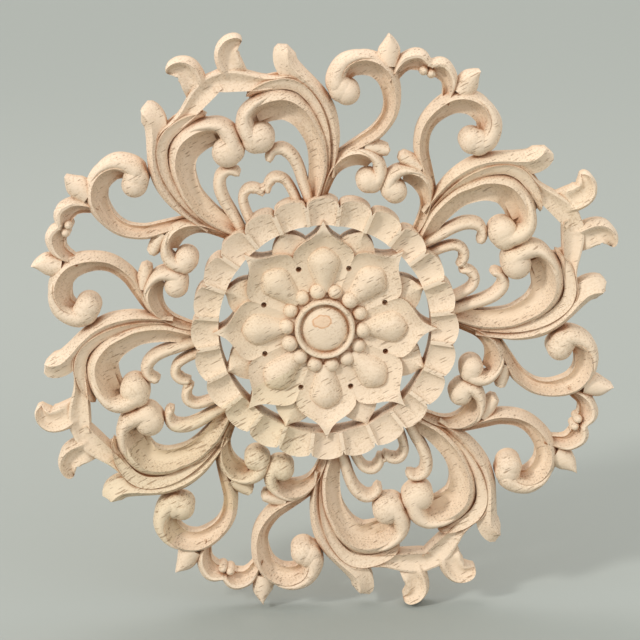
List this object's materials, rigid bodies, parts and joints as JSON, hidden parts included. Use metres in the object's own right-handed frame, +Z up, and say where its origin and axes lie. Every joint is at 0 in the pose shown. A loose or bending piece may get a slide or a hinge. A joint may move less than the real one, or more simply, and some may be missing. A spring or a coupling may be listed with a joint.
{
  "type": "carved wood applique",
  "caption": "Round openwork applique of carved wood: a petalled flower in a scalloped ring, framed by leafy scrolls, with a flat back for fixing to a wall or panel.",
  "frame": {"origin": "centre of the flat back face, where it lies on the wall or panel", "axes": "+Z up, +X to the right seen from the front, +Y out of the back into the wall; the carved front faces -Y"},
  "size_m": [0.2894, 0.02, 0.2894],
  "materials": {
    "pale_wood": "bare matte carved wood, unsealed"
  },
  "bodies": {
    "root": {"rosette_applique": "pale_wood"}
  },
  "joints": []
}
